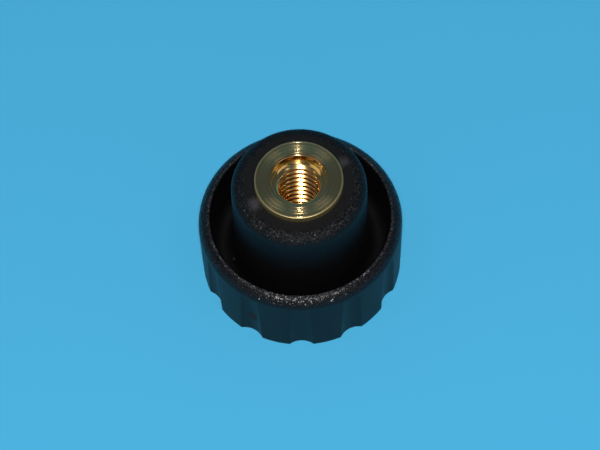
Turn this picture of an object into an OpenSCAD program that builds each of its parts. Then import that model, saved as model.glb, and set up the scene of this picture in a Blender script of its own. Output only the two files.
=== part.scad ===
// Knurled knob: a fluted plastic grip with a hollow behind its lip, and a boss moulded round a brass insert.
// The flat grip face lies at z = 0, and the boss and the threaded hole point along +Z.

/* [Grip] */
// Widest diameter, at the shoulder where the mould parts
grip_d = 25; // [24:0.5:32]
// Height of the shoulder above the grip face
shoulder_h = 9.15; // [7:0.05:12]
// Draft of the grip's wall, which narrows towards the grip face, in degrees
grip_draft = 1; // [0.5:0.25:2]
// Edge radius round the grip face
base_edge_r = 0.25; // [0.1:0.05:0.6]
// Thickness of the solid plate between the grip face and the hollow
plate_t = 3.1; // [2:0.1:5]

/* [Flutes] */
// Number of flutes round the grip
flute_n = 12; // [8:1:16]
// Radius of a flute's round section
flute_r = 2.4; // [1.8:0.1:3.5]
// Depth of a flute at the grip face
flute_depth = 0.6; // [0.4:0.05:0.9]
// How far the flutes run past the shoulder before they stop
flute_past = 0.15; // [0.1:0.05:0.6]
// Lean of a flute's floor, which gets shallower towards the shoulder, in degrees
flute_lean = 2.75; // [2:0.25:4]

/* [Lip] */
// Wall thickness of the lip, from the widest diameter to the hollow
lip_t = 1.4; // [1:0.05:2.2]
// Radius of the lip's outer rounding, which starts at the shoulder
lip_round_r = 1.85; // [1.2:0.05:2.2]
// Edge radius between the lip and the hollow
lip_edge_r = 0.15; // [0.05:0.05:0.3]
// Draft of the hollow's outer wall, in degrees
hollow_draft = 1; // [0.5:0.25:2]

/* [Boss] */
// Diameter of the boss at its top, before the edge is rounded
boss_d = 16.4; // [15:0.1:18]
// Height of the boss above the grip face
boss_h = 18.6; // [16:0.1:24]
// Radius of the boss's top edge
boss_edge_r = 1.5; // [0.5:0.1:2]
// Draft of the boss's wall, in degrees
boss_draft = 0.5; // [0.25:0.25:1.5]

/* [Insert] */
// Outside diameter of the insert
insert_d = 10.7; // [9.5:0.1:12]
// How far the insert stands proud of the boss
insert_proud = 0.9; // [0.2:0.05:1.5]
// Chamfer round the insert's outer edges
insert_edge = 0.1; // [0.05:0.05:0.4]
// Thickness of metal behind the tip of the blind hole
end_wall = 2; // [1:0.25:3]
// Width of the groove that keeps the insert in the plastic
groove_w = 1.5; // [0.8:0.1:2.5]
// Depth of that groove
groove_depth = 0.5; // [0.3:0.05:0.8]
// Height of the groove's middle above the insert's closed end
groove_rise = 7.5; // [4:0.5:9]

/* [Hole] */
// Diameter inside the crests of the thread
thread_bore_d = 5; // [4.9:0.05:5.2]
// Depth of the hole below the insert's face, to where the drill point starts
hole_depth = 12; // [8:0.5:13]
// Diameter of the plain mouth in front of the thread
mouth_d = 6.65; // [6.2:0.05:8]
// Depth of the plain mouth
mouth_depth = 1.45; // [0.5:0.05:2.5]
// Chamfer at the mouth's edge
mouth_edge = 0.15; // [0.05:0.05:0.4]
// Full angle of the drill point, in degrees
drill_angle = 118; // [90:1:140]
// Diameter of the small flat that the drill's chisel edge leaves at its point
drill_flat_d = 0.5; // [0.2:0.1:1]

/* [Hidden] */
$fn = 144;

// How far a cutting shape runs past the surface that it cuts
cut_over = 1;

// How far a rounding runs past the walls that it joins, so that it crosses them cleanly
blend_over = 0.002;

// Outer wall of the grip, which leans outwards from the grip face to the shoulder
grip_r = grip_d / 2;
function grip_wall(z) = grip_r - (shoulder_h - z) * tan(grip_draft);
base_edge_c = [grip_wall(0) - base_edge_r / tan(45 + grip_draft / 2), base_edge_r];

// Lip: the outer rounding runs on into the small edge radius, which meets the hollow's wall
hollow_r = grip_r - lip_t;
lip_c = [grip_r - lip_round_r, shoulder_h];
lip_roof_z = shoulder_h + lip_round_r;
lip_edge_x = hollow_r + lip_edge_r;
lip_edge_z = shoulder_h + sqrt(pow(lip_round_r - lip_edge_r, 2) - pow(lip_edge_x - lip_c.x, 2));
lip_edge_c = [lip_edge_x, lip_edge_z];
lip_turn = atan2(lip_edge_c.y - lip_c.y, lip_edge_c.x - lip_c.x);
lip_turn_over = 20;

// Outer wall of the hollow, which leans inwards as it goes down
function hollow_wall(z) = hollow_r - (lip_edge_z - z) * tan(hollow_draft);

// Boss wall, which leans outwards as it goes down, and the rounded top edge
boss_r = boss_d / 2;
function boss_wall(z) = boss_r + (boss_h - z) * tan(boss_draft);
boss_edge_c = [boss_r - boss_edge_r / tan(45 + boss_draft / 2), boss_h - boss_edge_r];

// Round floor of the hollow, which touches both walls and has its lowest line on the plate
wall_lean = 1 / cos(hollow_draft) + 1 / cos(boss_draft) - tan(hollow_draft) - tan(boss_draft);
floor_r = (hollow_wall(plate_t) - boss_wall(plate_t)) / wall_lean;
floor_z = plate_t + floor_r;
floor_c = [boss_wall(floor_z) + floor_r / cos(boss_draft), floor_z];
floor_cut_z = plate_t - floor_r / 4;

// Insert and its blind hole
insert_r = insert_d / 2;
face_z = boss_h + insert_proud;
bore_r = thread_bore_d / 2;
hole_end_z = face_z - hole_depth;
drill_flat_r = drill_flat_d / 2;
tip_z = hole_end_z - (bore_r - drill_flat_r) / tan(drill_angle / 2);
insert_z = tip_z - end_wall;
groove_z = insert_z + groove_rise;

// Flute cutter: its inner line lies flute_depth inside the wall at the grip face
flute_h = shoulder_h + flute_past;
flute_axis_r = grip_wall(0) - flute_depth + flute_r / cos(flute_lean);
flute_len = 2 * (flute_h + cut_over) / cos(flute_lean);

// Unit step at an angle from the X axis
function heading(a) = [cos(a), sin(a)];

// What lies outside a rounding of radius r about point c, between two angles
module corner(c, r, from, to) {
    reach = 2 * r;
    difference() {
        polygon([c, for (t = [0 : 0.25 : 1]) c + reach * heading(from + t * (to - from))]);
        translate(c)
            circle(r + blend_over);
    }
}

// Outside of the insert as a half section, also the shape of its seat in the plastic
module insert_outline() {
    polygon([
        [0, insert_z],
        [insert_r - insert_edge, insert_z],
        [insert_r, insert_z + insert_edge],
        [insert_r, groove_z - groove_w / 2],
        [insert_r - groove_depth, groove_z - groove_w / 2],
        [insert_r - groove_depth, groove_z + groove_w / 2],
        [insert_r, groove_z + groove_w / 2],
        [insert_r, face_z - insert_edge],
        [insert_r - insert_edge, face_z],
        [0, face_z]
    ]);
}

// Blind hole as a half section: plain mouth, bore for the thread, drill point
module hole_outline() {
    mouth_r = mouth_d / 2;
    polygon([
        [0, tip_z],
        [drill_flat_r, tip_z],
        [bore_r, hole_end_z],
        [bore_r, face_z - mouth_depth],
        [mouth_r, face_z - mouth_depth],
        [mouth_r, face_z - mouth_edge],
        [mouth_r + mouth_edge + cut_over, face_z + cut_over],
        [0, face_z + cut_over]
    ]);
}

// Space round the boss as a half section: the round-bottomed hollow, and all that lies above the lip
module boss_clearing() {
    clear_r = grip_wall(boss_h) + cut_over;
    clear_z = boss_h + cut_over;
    difference() {
        polygon([
            [boss_wall(floor_cut_z), floor_cut_z],
            [hollow_wall(floor_cut_z), floor_cut_z],
            [hollow_wall(lip_roof_z), lip_roof_z],
            [clear_r, lip_roof_z],
            [clear_r, clear_z],
            [boss_wall(clear_z), clear_z]
        ]);
        corner(floor_c, floor_r, boss_draft - 180, -hollow_draft);
    }
}

// Plastic moulding as a half section, with the seat of the insert left open
module body_section() {
    difference() {
        polygon([
            [0, 0],
            [grip_wall(0), 0],
            [grip_wall(boss_h), boss_h],
            [0, boss_h]
        ]);
        boss_clearing();
        corner(base_edge_c, base_edge_r, -90, -grip_draft);
        corner(lip_c, lip_round_r, -grip_draft, lip_turn + lip_turn_over);
        corner(lip_edge_c, lip_edge_r, lip_turn, 180);
        corner(boss_edge_c, boss_edge_r, boss_draft, 90);
        insert_outline();
    }
}

// All flutes as leaning rods, cut off level just past the shoulder
module flute_cutters() {
    intersection() {
        for (i = [0 : flute_n - 1])
            rotate([0, 0, i * 360 / flute_n])
                translate([0, -flute_axis_r, 0])
                    rotate([flute_lean, 0, 0])
                        cylinder(h = flute_len, r = flute_r, center = true);
        translate([0, 0, -cut_over])
            cylinder(h = flute_h + cut_over, r = grip_r + flute_r);
    }
}

module knob_body() {
    color([0.03, 0.03, 0.035])
        difference() {
            rotate_extrude()
                body_section();
            flute_cutters();
        }
}

module threaded_insert() {
    color([0.72, 0.62, 0.36])
        rotate_extrude()
            difference() {
                insert_outline();
                hole_outline();
            }
}

knob_body();
threaded_insert();
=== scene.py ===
"""Looks of a knurled knob: a black fluted moulding with a ring-shaped hollow, moulded round a turned brass insert.

Both pieces are turned forms, so each is one grid of points: rows follow the half section, columns go round the
axis. The flutes and the thread come from formulas that change the radius of those rows. Lengths are in mm until
a mesh is made. Angles round the knob count from its front, where one flute has its middle.
"""

import bpy
import numpy as np
from mathutils import Matrix


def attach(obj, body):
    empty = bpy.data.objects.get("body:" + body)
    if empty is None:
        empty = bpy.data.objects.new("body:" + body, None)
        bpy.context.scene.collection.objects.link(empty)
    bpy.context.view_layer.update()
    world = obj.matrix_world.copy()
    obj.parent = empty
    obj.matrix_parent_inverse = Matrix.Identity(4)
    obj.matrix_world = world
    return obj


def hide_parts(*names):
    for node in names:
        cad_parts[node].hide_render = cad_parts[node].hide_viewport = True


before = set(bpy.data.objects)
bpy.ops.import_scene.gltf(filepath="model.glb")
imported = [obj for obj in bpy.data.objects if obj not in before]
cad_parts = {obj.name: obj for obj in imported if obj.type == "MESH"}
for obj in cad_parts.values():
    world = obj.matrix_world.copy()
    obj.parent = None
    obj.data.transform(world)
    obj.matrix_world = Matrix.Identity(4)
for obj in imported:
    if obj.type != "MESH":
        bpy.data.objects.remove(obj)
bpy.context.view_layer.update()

MM = 0.001

# Sizes of the moulding, the same as in the part's source
GRIP_R, SHOULDER_Z, GRIP_DRAFT, BASE_EDGE = 12.5, 9.15, 1.0, 0.25
FLUTES, FLUTE_R, FLUTE_DEPTH, FLUTE_END, FLUTE_LEAN = 12, 2.4, 0.6, 9.3, 2.75
LIP_C, LIP_R, LIP_EDGE_C, LIP_EDGE_R = (10.65, 9.15), 1.85, (11.25, 10.7406), 0.15
HOLLOW_C, HOLLOW_R, HOLLOW_DRAFT = (9.6567, 4.433), 1.333, 1.0
BOSS_C, BOSS_EDGE, BOSS_Z, BOSS_DRAFT = (6.713, 17.1), 1.5, 18.6, 0.5

# Sizes of the insert: outside, groove, plain mouth, hole inside the thread's crests
INSERT_R, INSERT_Z, FACE_Z, CHAMFER = 5.35, 4.148, 19.5, 0.1
GROOVE_R, GROOVE_LOW, GROOVE_HIGH = 4.85, 10.898, 12.398
MOUTH_R, MOUTH_Z, MOUTH_EDGE = 3.325, 18.05, 0.15
CREST_R, HOLE_END, TIP_R, TIP_Z = 2.5, 7.5, 0.25, 6.148

# Thread: its pitch and depth, half widths of its groove at the wall and at the root in pitches, how much its flanks
# are rounded, and the heights above the drilled end between which it runs out
PITCH = 1.0
THREAD_DEPTH = 0.5413 * PITCH
THREAD_OPEN, THREAD_ROOT, THREAD_WORN = 0.375, 0.0625, 0.3
RUN_OUT_LOW, RUN_OUT_HIGH = 0.4, 1.9

# How far edges are worn round that the part's source leaves sharp
FLUTE_ARRIS, LEDGE_ARRIS, SEAT_ARRIS, BRASS_ARRIS = 0.08, 0.04, 0.02, 0.04

# Radius of the ring of points next to the axis on a closed end
POLE_R = 0.5

# Middles of the marks on the moulding: angle from the front in degrees, distance from the axis, height
GATE_SCAR, EJECTOR_PIN = (-29.4, 11.95, 4.25), (60.9, 8.32, 4.85)
PALE_PATCH, SMALL_PALE_PATCH = (-62, 6.0, BOSS_Z), (118.5, 6.1, BOSS_Z)
SPECK, CRUMB = (55.2, 8.26, 10.18), (-76, 8.6, 3.6)
GATE_TALL, PIN_R = 1.9, 1.2

# Colours of the moulding, the brass, the floor and the surround
BLACK, PALER_BLACK = (0.0016, 0.0015, 0.0018, 1), (0.0026, 0.0025, 0.0028, 1)
# The first pale grey on the next line paints specks of dust and two patches on the boss's top, and a painted sheen
# along the lip's crest
DUST_AND_SHEEN_GREY, GATE_BROWN = (0.032, 0.03, 0.034, 1), (0.014, 0.01, 0.008, 1)
FACE_BRASS, FACE_TARNISH = (0.86, 0.575, 0.25, 1), (0.8, 0.555, 0.26, 1)
GROOVE_BRASS, DULL_BRASS = (0.88, 0.57, 0.2, 1), (0.62, 0.44, 0.19, 1)
# The thread's colour, last on the next line, is a deeper orange than the brass: a painted glow of light bouncing
# round inside the threaded hole
MOUTH_BRASS, MOUTH_TARNISH, THREAD_BOUNCE_ORANGE = (0.97, 0.7, 0.31, 1), (0.92, 0.66, 0.3, 1), (0.97, 0.53, 0.17, 1)
FLOOR_BLUE = (0.066, 0.41, 0.66, 1)
FRONT_GREY, SIDE_BLUE = (0.2, 0.22, 0.24, 1), (0.06, 0.19, 0.3, 1)
BACK_BLUE, OVERHEAD = (0.08, 0.33, 0.53, 1), (0.05, 0.072, 0.098, 1)

# Lamps: angle from the front and elevation in degrees, distance, width and height in metres, power in watts
LAMPS = {
    "key": (2.2, 61.3, 0.6, 0.04, 0.04, 3.6),
    "left": (-86, 64, 0.7, 0.28, 0.2, 0.1),
    "right": (84, 64, 0.7, 0.28, 0.2, 0.1),
    "front": (2.2, 25, 0.7, 0.5, 0.2, 0.12),
    "front_left": (-52, 21, 0.7, 0.6, 0.2, 0.14),
    "front_right": (56, 21, 0.7, 0.6, 0.2, 0.12),
}
LAMP_AIM = np.array([0, 0, 0.012])

# Floor, in metres: half its width, how far it lies below the knob; and the points along each side of its grid
FLOOR_HALF, FLOOR_DROP, FLOOR_POINTS = 1.5, 2e-5, 9

# Camera: elevation, turn and roll in degrees, distance in metres, the picture's size and the focal length in
# pixels, and the pixel at which the middle of the grip face lies
CAMERA_ELEVATION, CAMERA_TURN, CAMERA_ROLL, CAMERA_DISTANCE = 60.75, 2.19, -2.36, 0.376065
PICTURE_PX, FOCAL_PX, ORIGIN_PX, SENSOR_MM = (600, 450), 3000, (301.888, 257.412), 36


def smooth(x, low, high):
    """0 below low, 1 above high, and the S curve 3t^2 - 2t^3 between them."""
    t = np.clip((x - low) / (high - low), 0, 1)
    return t * t * (3 - 2 * t)


def soft_min(a, b, width):
    """The smaller of a and b, with the corner where they cross rounded off over the given width."""
    near = np.clip(width - np.abs(a - b), 0, None) / width
    return np.minimum(a, b) - near * near * width / 4


def around(centre, radius, turns):
    """Points of a half section at the given angles round a centre, in degrees."""
    t = np.radians(turns)
    return np.stack([centre[0] + radius * np.cos(t), centre[1] + radius * np.sin(t)], -1)


def arc(centre, radius, start, end, count):
    """`count` points of a half section at equal angles round a centre, from start to end in degrees."""
    return around(centre, radius, np.linspace(start, end, count))


def line(start, end, count):
    """`count` points of a half section at equal steps from start to end, both left out."""
    t = np.linspace(0, 1, count + 2)[1:-1, None]
    return np.array(start) * (1 - t) + np.array(end) * t


def bevelled(corners, cut, count):
    """A chain of straight runs whose corners are worn round: each corner gives way to a parabola that starts and
    ends `cut` mm from it, (1-t)^2 A + 2t(1-t) corner + t^2 B, with `count` points."""
    p = np.array(corners, float)
    cut = np.broadcast_to(cut, len(p) - 2)[:, None]
    before = p[:-2] - p[1:-1]
    after = p[2:] - p[1:-1]
    a = p[1:-1] + cut * before / np.linalg.norm(before, axis=1, keepdims=True)
    b = p[1:-1] + cut * after / np.linalg.norm(after, axis=1, keepdims=True)
    t = np.linspace(0, 1, count)[None, :, None]
    curve = (1 - t) ** 2 * a[:, None] + 2 * t * (1 - t) * p[1:-1, None] + t * t * b[:, None]
    return np.concatenate([p[:1], curve.reshape(-1, 2), p[-1:]])


def in_scene(name, data):
    """A new object for a mesh, a lamp or a camera, linked into the scene."""
    made = bpy.data.objects.new(name, data)
    bpy.context.scene.collection.objects.link(made)
    return made


def turned_piece(name, radius, height, angle, materials, lined_from, node):
    """A closed skin over a grid: point (i, j) lies at radius r_ij and height z_ij, on the ray at angle a_ij from the
    front, so x = r sin a and y = -r cos a. The last column joins the first, and the first and last rows close in
    one point each on the axis. Faces from row lined_from on take the last material."""
    rows, cols = radius.shape
    x = radius * np.sin(angle)
    y = -radius * np.cos(angle)
    ring = np.stack([x, y, height], -1).reshape(-1, 3)
    poles = np.array([[0, 0, height[0].mean()], [0, 0, height[-1].mean()]])
    here = np.arange(rows * cols).reshape(rows, cols)
    side = np.roll(here, -1, axis=1)
    quads = np.stack([here[:-1], side[:-1], side[1:], here[1:]], -1).reshape(-1, 4)
    low = np.stack([np.full(cols, rows * cols), side[0], here[0]], -1)
    high = np.stack([np.full(cols, rows * cols + 1), here[-1], side[-1]], -1)
    mesh = bpy.data.meshes.new(name)
    mesh.from_pydata(np.concatenate([ring, poles]) * MM, [], quads.tolist() + low.tolist() + high.tolist())
    mesh.polygons.foreach_set("use_smooth", np.ones(len(mesh.polygons), bool))
    for material in materials:
        mesh.materials.append(material)
    row = np.concatenate([np.repeat(np.arange(rows - 1), cols), np.zeros(cols, int), np.full(cols, rows)])
    mesh.polygons.foreach_set("material_index", np.where(row >= lined_from, len(materials) - 1, 0))
    mesh.update()
    piece = in_scene(name, mesh)
    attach(piece, "root")
    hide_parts(node)


def grip_wall(z):
    """Radius of the ribs' tops, which lean out towards the shoulder by the draft."""
    return GRIP_R - (SHOULDER_Z - z) * np.tan(np.radians(GRIP_DRAFT))


def flute_axis(z):
    """Distance of a flute's own axis from the knob's axis, which grows with height because the flute leans."""
    lean = np.radians(FLUTE_LEAN)
    return grip_wall(0) - FLUTE_DEPTH + FLUTE_R / np.cos(lean) + z * np.tan(lean)


def flute_floor(a, z):
    """Radius at which a ray at angle a from a flute's middle enters the flute's round section; far out where the
    ray misses it. It is the nearer root of R^2 - 2 R C cos a + C^2 - r^2 = 0, with C the flute's axis."""
    c = flute_axis(z)
    inside = FLUTE_R ** 2 - (c * np.sin(a)) ** 2
    return np.where(inside > 0, c * np.cos(a) - np.sqrt(np.clip(inside, 0, None)), 2 * GRIP_R)


def flute_columns(z):
    """Angles of the columns for each row height, the same pattern for every flute: columns lie close together at
    the flute's edge, which they follow as it draws in towards the shoulder, and wide apart elsewhere. Step 0 is the
    flute's middle, 1 its edge and 2 the middle of the rib. Gives the angles in each flute, and the flutes' own."""
    half = np.array([
        0.15, 0.3, 0.45, 0.58, 0.7, 0.8, 0.88, 0.93, 0.965,
        1, 1.035, 1.07, 1.13, 1.22, 1.35, 1.5, 1.66, 1.83])
    step = np.concatenate([[-2], -half[::-1], [0], half])
    c, w = flute_axis(z), grip_wall(z)
    edge = np.arccos((w * w + c * c - FLUTE_R ** 2) / (2 * w * c))[:, None]
    reach = np.abs(step)[None]
    pitch = np.pi / FLUTES
    local = np.sign(step) * np.where(reach <= 1, reach * edge, edge + (reach - 1) * (pitch - edge))
    middle = np.arange(FLUTES) * 2 * pitch
    return np.tile(local, FLUTES), np.repeat(middle, len(step))[None]


def moulded_body(material):
    """The black moulding. Its half section goes out along the grip face, up the grip's wall, over the lip, through
    the round-floored hollow, up the boss and down into the insert's seat. On the outer rows the radius is the
    smaller of the wall and the flute, less what the bottom edge takes off, until the flutes end at their ledge."""
    base_c = (grip_wall(0) - BASE_EDGE / np.tan(np.radians(45 + GRIP_DRAFT / 2)), BASE_EDGE)
    face = line((0, 0), (base_c[0], 0), 9)
    edge = arc(base_c, BASE_EDGE, -90, -GRIP_DRAFT, 7)
    wall_z = np.linspace(BASE_EDGE, SHOULDER_Z, 22)[1:-1]
    wall = np.stack([grip_wall(wall_z), wall_z], -1)

    # Rows of the lip by their angles round its centre: below the flutes' ledge, close together at it, and above it
    below = [-1, 0.5, 1.7]
    ledge_z = FLUTE_END + np.array([-0.06, -0.035, -0.018, 0, 0.018, 0.035, 0.06])
    ledge = np.degrees(np.arcsin((ledge_z - LIP_C[1]) / LIP_R))
    lip_end = np.degrees(np.arctan2(LIP_EDGE_C[1] - LIP_C[1], LIP_EDGE_C[0] - LIP_C[0]))
    above = np.linspace(8, lip_end, 16)
    lip = around(LIP_C, LIP_R, np.concatenate([below, ledge, above]))

    lip_edge = arc(LIP_EDGE_C, LIP_EDGE_R, lip_end + 12, 180 - HOLLOW_DRAFT, 8)
    floor = arc(HOLLOW_C, HOLLOW_R, -HOLLOW_DRAFT, BOSS_DRAFT - 180, 22)
    boss = arc(BOSS_C, BOSS_EDGE, BOSS_DRAFT, 90, 14)
    seat = bevelled([
        (INSERT_R + 0.3, BOSS_Z), (INSERT_R, BOSS_Z), (INSERT_R, GROOVE_HIGH), (GROOVE_R, GROOVE_HIGH),
        (GROOVE_R, GROOVE_LOW), (INSERT_R, GROOVE_LOW), (INSERT_R, INSERT_Z), (POLE_R, INSERT_Z)], SEAT_ARRIS, 3)
    section = np.concatenate([
        face, edge, wall, lip, lip_edge, line(lip_edge[-1], floor[0], 8), floor, line(floor[-1], boss[0], 16), boss,
        line(boss[-1], seat[0], 3), seat])
    r, z = section[:, :1], section[:, 1:]
    row = np.arange(len(section))[:, None]
    fluted_rows = len(face) + len(edge) + len(wall) + len(below) + len(ledge)
    local, middle = flute_columns(np.clip(z[:, 0], 0, FLUTE_END))
    wall_r = np.where(z > SHOULDER_Z, r, grip_wall(z))
    cut = soft_min(wall_r, flute_floor(local, z), FLUTE_ARRIS)
    cut = cut + (wall_r - cut) * smooth(z, FLUTE_END - LEDGE_ARRIS, FLUTE_END + LEDGE_ARRIS)
    rim = (cut[len(face)] - BASE_EDGE)[None] / base_c[0]
    fluted = np.where(row < len(face), r * rim, cut - (wall_r - r))
    radius = np.where(row < fluted_rows, fluted, r)
    turned_piece("moulded_body", radius, z + 0 * radius, local + middle, [material], 0, "knob_body")


def thread_depth(a, z):
    """How far the thread's groove goes into the wall: a symmetric 60 degree form that climbs one pitch a turn, flat
    for an eighth of the pitch at its root and a quarter at its crest, with its corners a little rounded, running
    out before the drilled end."""
    along = np.abs((z / PITCH - a / (2 * np.pi)) % 1 - 0.5)
    flank = np.clip((THREAD_OPEN - along) / (THREAD_OPEN - THREAD_ROOT), 0, 1)
    worn = (1 - THREAD_WORN) * flank + THREAD_WORN * smooth(flank, 0, 1)
    return THREAD_DEPTH * worn * smooth(z, HOLE_END + RUN_OUT_LOW, HOLE_END + RUN_OUT_HIGH)


def brass_insert(materials):
    """The turned insert, whose hole has a finish of its own. Its half section goes out under the closed end, up the
    outside with its groove, over the edge and the face, down the plain mouth, in along the ledge and down the
    threaded wall to the drilled end."""
    columns = 240
    a = np.arange(columns)[None] * 2 * np.pi / columns
    ledge_start = CREST_R + 0.7
    outside = bevelled(
        [(POLE_R, INSERT_Z), (INSERT_R - CHAMFER, INSERT_Z), (INSERT_R, INSERT_Z + CHAMFER), (INSERT_R, GROOVE_LOW),
         (GROOVE_R, GROOVE_LOW), (GROOVE_R, GROOVE_HIGH), (INSERT_R, GROOVE_HIGH), (INSERT_R, FACE_Z),
         (MOUTH_R, FACE_Z), (MOUTH_R, MOUTH_Z), (ledge_start, MOUTH_Z)],
        [BRASS_ARRIS] * 6 + [CHAMFER, MOUTH_EDGE, BRASS_ARRIS], 6)
    inwards = np.linspace(0.15, 1, 6)[:, None]
    ledge_r = ledge_start * (1 - inwards) + (CREST_R + thread_depth(a, MOUTH_Z)) * inwards
    step = PITCH / 20
    wall_z = np.arange(MOUTH_Z - step, HOLE_END, -step)
    wall_z = np.concatenate([[MOUTH_Z - 0.3 * step], wall_z, [HOLE_END]])[:, None]
    wall_r = CREST_R + thread_depth(a, wall_z)
    point = np.concatenate([line((CREST_R, HOLE_END), (TIP_R, TIP_Z), 8), [(TIP_R, TIP_Z)]])
    radius = np.concatenate([outside[:, :1] + 0 * a, ledge_r, wall_r, point[:, :1] + 0 * a])
    height = np.concatenate([outside[:, 1:] + 0 * a, MOUTH_Z + 0 * ledge_r, wall_z + 0 * a, point[:, 1:] + 0 * a])
    hole_row = int(np.argmax((outside[:, 0] < MOUTH_R + 0.01) & (outside[:, 1] > MOUTH_Z)))
    turned_piece(
        "brass_insert", radius, height, a + 0 * radius, materials, hole_row, "threaded_insert")


class Wire:
    """One socket of a material's node tree. Arithmetic on wires adds Math nodes, and node() adds any other node."""

    def __init__(self, tree, socket=None):
        self.tree = tree
        self.socket = socket

    def node(self, kind, settings=None, sockets=None, output=0):
        """Adds a node: first its settings, then the values or links of its sockets. Gives the wire of one output."""
        made = self.tree.nodes.new("ShaderNode" + kind)
        for name, value in (settings or {}).items():
            setattr(made, name, value)
        for name, value in (sockets or {}).items():
            if isinstance(value, Wire):
                self.tree.links.new(value.socket, made.inputs[name])
            else:
                made.inputs[name].default_value = value
        return Wire(self.tree, made.outputs[output] if len(made.outputs) else None)

    def twin(self, output):
        """Another output of the node that this wire comes from."""
        return Wire(self.tree, self.socket.node.outputs[output])

    def math(self, operation, a, b=0.0):
        """A Math node on two values or wires."""
        return self.node("Math", {"operation": operation}, {0: a, 1: b})

    def __add__(self, other):
        return self.math("ADD", self, other)

    def __radd__(self, other):
        return self.math("ADD", other, self)

    def __sub__(self, other):
        return self.math("SUBTRACT", self, other)

    def __rsub__(self, other):
        return self.math("SUBTRACT", other, self)

    def __mul__(self, other):
        return self.math("MULTIPLY", self, other)

    def __rmul__(self, other):
        return self.math("MULTIPLY", other, self)

    def vector(self, operation, other=None, output="Vector"):
        """A Vector Math node on this wire, with another vector or, for SCALE, a factor."""
        sockets = {0: self}
        if other is not None:
            sockets["Scale" if operation == "SCALE" else 1] = other
        return self.node("VectorMath", {"operation": operation}, sockets, output)

    def rise(self, low, high):
        """0 where this value is below low, 1 above high, an S curve between them."""
        sockets = {"Value": self, "From Min": low, "From Max": high}
        return self.node("MapRange", {"interpolation_type": "SMOOTHSTEP"}, sockets)

    def fall(self, low, high):
        """1 where this value is below low, 0 above high, an S curve between them."""
        return 1 - self.rise(low, high)

    def tint(self, below, above):
        """A colour between two, by this value. A Mix node's colours are its inputs 6 and 7 and its output 2."""
        return self.node("Mix", {"data_type": "RGBA"}, {0: self, 6: below, 7: above}, 2)


def new_material(name):
    """An empty node material, and a wire to start its expressions from."""
    material = bpy.data.materials.new(name)
    material.use_nodes = True
    material.node_tree.nodes.clear()
    return material, Wire(material.node_tree)


def level(spot):
    """A vector without its height."""
    return spot.vector("MULTIPLY", (1, 1, 0))


def place_mm(w):
    """Where a point lies on the piece, in mm: the vector, the distance from the axis and the height."""
    spot = w.node("TexCoord", output="Object").vector("SCALE", 1 / MM)
    return spot, level(spot).vector("LENGTH", output="Value"), w.node("SeparateXYZ", {}, {0: spot}, "Z")


def noise(spot, scale, detail=2.0, rough=0.5):
    """Soft random values round 0.5, with features about 1 / scale mm across."""
    return spot.node("TexNoise", {}, {"Vector": spot, "Scale": scale, "Detail": detail, "Roughness": rough})


def stripes(along, scale, detail=2.0):
    """Soft random values round 0.5 that change along one value alone, about 1 / scale mm wide."""
    return along.node("TexNoise", {"noise_dimensions": "1D"}, {"W": along, "Scale": scale, "Detail": detail})


def away(spot, mark, tall=1.0):
    """Distance in mm from the middle of a mark. Heights count less where the mark is taller than it is wide."""
    angle, radius, z = mark
    t = np.radians(angle)
    centre = (float(radius * np.sin(t)), float(-radius * np.cos(t)), z)
    return spot.vector("SUBTRACT", centre).vector("MULTIPLY", (1, 1, 1 / tall)).vector("LENGTH", output="Value")


def leaning(lean):
    """The surface's own normal, pushed over by a vector."""
    return lean.vector("ADD", lean.node("NewGeometry", output="Normal")).vector("NORMALIZE")


def facets(cell, tilt):
    """Normals of a sparkling grain: each cell leans its own way, by up to half the tilt along each axis."""
    return leaning(cell.vector("SUBTRACT", (0.5, 0.5, 0.5)).vector("SCALE", tilt))


def ringed(spot, slope):
    """Normals of a turned face: leaning away from the axis by a slope that changes from ring to ring."""
    return leaning(level(spot).vector("NORMALIZE").vector("SCALE", slope))


def bumped(height, **normal):
    """The normal of a surface with bumps of a height in mm, on top of another normal where one is given."""
    return height.node("Bump", {}, {"Strength": 1.0, "Distance": MM, "Height": height, **normal})


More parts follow.
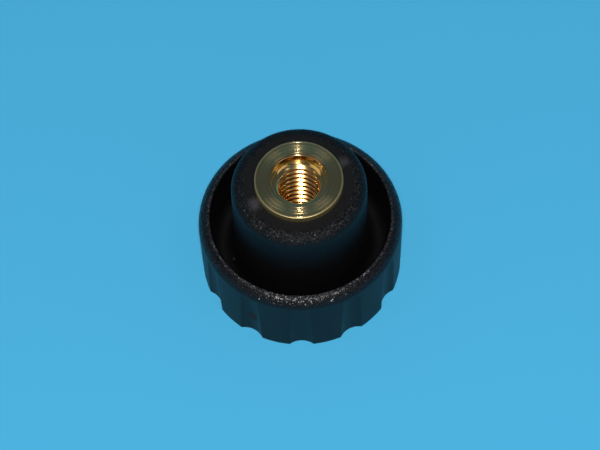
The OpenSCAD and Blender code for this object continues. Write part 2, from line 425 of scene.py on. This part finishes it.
def black_moulding():
    """Black moulding compound: smooth satin walls from polished steel, and a spark-eroded grain on the lip and on
    the boss's edge, where the grain's facets catch the light. The lip's crest, and more faintly its grain, are
    painted
    a paler grey: a painted sheen that brightens the lip's band of highlights. Carries the gate scar, the ring of an
    ejector pin, specks of dust and two paler grey patches on the boss's top."""
    material, w = new_material("black_moulding")
    spot, r, z = place_mm(w)
    ripple = noise(spot, 0.5)
    fine = noise(spot, 6.0, 3.0, 0.6)
    patch = noise(spot, 1.6, 1.0)
    cell = w.node("TexVoronoi", {}, {"Vector": spot, "Scale": 8.5}, "Color")
    draw = w.node("TexWhiteNoise", {}, {"Vector": cell.twin("Position")})

    # Places with a finish of their own, by the heights and the distances from the axis between which they fade
    lip = z.rise(9.85, 10.05) * r.rise(10.95, 11.2)
    crest = r.rise(10.95, 11.1) * r.fall(11.35, 11.6) * z.rise(10.6, 10.75)
    shoulder = lip * z.fall(10.3, 10.65)
    band = z.rise(9.1, 9.4) * z.fall(9.8, 10.0) * r.rise(12.1, 12.3)
    grip = r.rise(11.0, 11.3) * z.fall(9.1, 9.3)
    top = z.rise(17.7, 17.9)
    boss_edge = top * r.rise(6.5, 6.7)
    boss_wall = r.fall(8.6, 8.9) * z.rise(6, 9) * (1 - top)

    # Marks, by the distances from their middles between which they fade
    ragged = patch * 0.9 + fine * 0.8 - 0.85
    # Two patches painted a paler grey on the boss's top ring
    pale_patch = (away(spot, PALE_PATCH) + ragged).fall(0.1, 1.3)
    small_pale_patch = (away(spot, SMALL_PALE_PATCH) + ragged).fall(0.0, 1.1)
    gate = away(spot, GATE_SCAR, GATE_TALL).fall(0.3, 0.75)
    dust = away(spot, SPECK).fall(0.1, 0.22) + away(spot, CRUMB).fall(0.12, 0.25)
    pin = w.math("ABSOLUTE", away(spot, EJECTOR_PIN) - PIN_R).fall(0.05, 0.2)
    # Paler grey along the lip's crest and over its grain: a painted sheen for the lip's band of highlights
    painted_lip_sheen = draw.rise(0.3, 0.9) * (crest * 0.95 + lip * 0.3)
    glint = draw.rise(0.66, 0.72) * boss_edge * patch.rise(0.3, 0.5)

    tilt = lip * 0.34 + crest * 0.4 + shoulder * 0.42 + boss_edge * 0.8 + gate * 0.5 + dust * 0.5 + 0.03
    normal = bumped(fine * 0.002 + ripple * 0.004 + pin * 0.01, Normal=facets(cell, tilt))
    # Base colour: paler grey for specks of dust, for two patches on the boss's top, and as painted sheen along the
    # lip's crest and grain
    worn = (pale_patch + small_pale_patch * 0.75 + dust * 0.7 + painted_lip_sheen).tint(ripple.tint(BLACK, PALER_BLACK), DUST_AND_SHEEN_GREY)
    rough = (
        0.39 + ripple * 0.06 + top * 0.34 - boss_edge * 0.18 + grip * 0.06 + boss_wall * 0.08
        - lip * (0.05 + draw * 0.12) + gate * 0.34 - glint * 0.2)
    surface = w.node("BsdfPrincipled", {}, {
        "Base Color": gate.tint(worn, GATE_BROWN), "Roughness": rough, "Normal": normal, "IOR": 1.5,
        "Specular IOR Level": 0.21, "Coat Weight": band * 0.2, "Coat Roughness": 0.3})
    w.node("OutputMaterial", {}, {"Surface": surface})
    return material


def turned_brass():
    """Bright turned brass: fine rings left by the tool, which spread the light across them, and a light tarnish. The
    worn edge of the face and the outside wall are duller."""
    material, w = new_material("turned_brass")
    spot, r, z = place_mm(w)
    face = z.rise(FACE_Z - 0.15, FACE_Z - 0.03)
    rings = stripes(r, 9.0, 3.0)
    fine_rings = stripes(r, 31.0)
    ring_width = 0.085
    wave = w.math("SINE", r * (2 * np.pi / ring_width) + fine_rings * 5.0)
    slope = face * ((rings - 0.5) * 0.35 + (fine_rings - 0.5) * 1.85 + wave * 0.17)
    normal = bumped((1 - face) * stripes(z, 12.0) * 0.003, Normal=ringed(spot, slope))
    cloud = noise(spot, 0.9, 3.0)
    colour = face.tint(GROOVE_BRASS, cloud.tint(FACE_BRASS, FACE_TARNISH))
    rough = 0.14 + cloud * 0.04 + (1 - face) * 0.05
    bright = w.node("BsdfPrincipled", {}, {
        "Base Color": colour, "Metallic": 1.0, "Roughness": rough, "Normal": normal, "Anisotropic": 0.6,
        "Anisotropic Rotation": 0.25})
    dull = w.node("BsdfPrincipled", {}, {"Base Color": DULL_BRASS, "Metallic": 1.0, "Roughness": 0.44})
    corner = INSERT_R + FACE_Z
    worn = w.math("MAXIMUM", (r + z).rise(corner - 0.23, corner - 0.11), r.rise(INSERT_R - 0.05, INSERT_R - 0.01))
    w.node("OutputMaterial", {}, {"Surface": w.node("MixShader", {}, {0: worn, 1: bright, 2: dull})})
    return material


def cut_brass():
    """Brass inside the hole: cut by a drill and a tap, so it is smooth, with faint marks along the cut. The thread is
    painted a deeper orange gold than the plain mouth, a painted glow of light bouncing round inside the hole, and it
    is a little duller."""
    material, w = new_material("cut_brass")
    spot, _, z = place_mm(w)
    cloud = noise(spot, 1.4, 3.0)
    thread = z.fall(MOUTH_Z - 0.45, MOUTH_Z - 0.05)
    # The thread's deeper orange is a painted glow of light bouncing round inside the hole
    surface = w.node("BsdfPrincipled", {}, {
        "Base Color": thread.tint(cloud.tint(MOUTH_BRASS, MOUTH_TARNISH), THREAD_BOUNCE_ORANGE), "Metallic": 1.0,
        "Roughness": 0.08 + cloud * 0.04 + thread * 0.05, "Normal": bumped(stripes(z, 12.0) * 0.002 + cloud * 0.003)})
    w.node("OutputMaterial", {}, {"Surface": surface})
    return material


def blue_floor():
    """A plain blue floor that the knob stands on: a flat square grid."""
    material, w = new_material("blue_floor")
    surface = w.node("BsdfPrincipled", {}, {"Base Color": FLOOR_BLUE, "Roughness": 0.8, "Specular IOR Level": 0.2})
    w.node("OutputMaterial", {}, {"Surface": surface})
    side = np.linspace(-FLOOR_HALF, FLOOR_HALF, FLOOR_POINTS)
    x, y = np.meshgrid(side, side)
    points = np.stack([x, y, 0 * x - FLOOR_DROP], -1).reshape(-1, 3)
    here = np.arange(x.size).reshape(x.shape)
    quads = np.stack([here[:-1, :-1], here[:-1, 1:], here[1:, 1:], here[1:, :-1]], -1).reshape(-1, 4)
    mesh = bpy.data.meshes.new("floor")
    mesh.from_pydata(points, [], quads.tolist())
    mesh.materials.append(material)
    in_scene("floor", mesh)


def stand(thing, side, top, back, place):
    """Puts a lamp or the camera at a place, with its own three axes along side, top and back."""
    turned = np.eye(4)
    turned[:3] = np.stack([side, top, back, place], -1)
    thing.matrix_world = Matrix(turned.tolist())


def soft_lamp(name, angle, elevation, distance, width, height, power):
    """A soft lamp that faces the knob from the direction (sin a cos e, -cos a cos e, sin e)."""
    a, e = np.radians([angle, elevation])
    back = np.array([np.sin(a) * np.cos(e), -np.cos(a) * np.cos(e), np.sin(e)])
    side = np.cross([0, 0, 1], back)
    side /= np.linalg.norm(side)
    light = bpy.data.lights.new(name, "AREA")
    light.shape, light.size, light.size_y, light.energy = "RECTANGLE", width, height, power
    lamp = in_scene(name, light)
    lamp.visible_camera = False
    stand(lamp, side, np.cross(back, side), back, back * distance + LAMP_AIM)


def surround():
    """A dim surround: grey in front, running into the floor's blue at the sides and the back, darker overhead."""
    world = bpy.data.worlds.new("surround")
    world.use_nodes = True
    world.node_tree.nodes.clear()
    w = Wire(world.node_tree)
    back = w.node("SeparateXYZ", {}, {0: w.node("TexCoord", output="Generated")}, "Y")
    beside = back.rise(-0.6, 0).tint(FRONT_GREY, SIDE_BLUE)
    horizon = back.rise(0.4, 0.85).tint(beside, BACK_BLUE)
    light = back.twin("Z").rise(0.25, 0.7).tint(horizon, OVERHEAD)
    w.node("OutputWorld", {}, {"Surface": w.node("Background", {}, {"Color": light})})
    bpy.context.scene.world = world


def camera():
    """A long lens, 61 degrees above the table and turned 2 degrees from the front flute, rolled so that the picture
    leans as the photo does, and moved sideways and up until the knob lies where it does there."""
    elevation, turn, roll = np.radians([CAMERA_ELEVATION, CAMERA_TURN, CAMERA_ROLL])
    right = np.array([np.cos(turn), np.sin(turn), 0])
    ahead = np.array([-np.sin(turn) * np.cos(elevation), np.cos(turn) * np.cos(elevation), -np.sin(elevation)])
    up = np.cross(right, ahead)
    side = np.cos(roll) * right + np.sin(roll) * up
    top = np.cos(roll) * up - np.sin(roll) * right
    across, down = (np.array(ORIGIN_PX) - np.array(PICTURE_PX) / 2) / FOCAL_PX
    data = bpy.data.cameras.new("camera")
    data.sensor_width, data.lens = SENSOR_MM, SENSOR_MM * FOCAL_PX / PICTURE_PX[0]
    view = in_scene("camera", data)
    stand(view, side, top, -ahead, -CAMERA_DISTANCE * (across * side - down * top + ahead))
    bpy.context.scene.camera = view


moulded_body(black_moulding())
brass_insert([turned_brass(), cut_brass()])
blue_floor()
for lamp_name, settings in LAMPS.items():
    soft_lamp(lamp_name, *settings)
surround()
camera()
bpy.context.scene.view_settings.view_transform = "Standard"
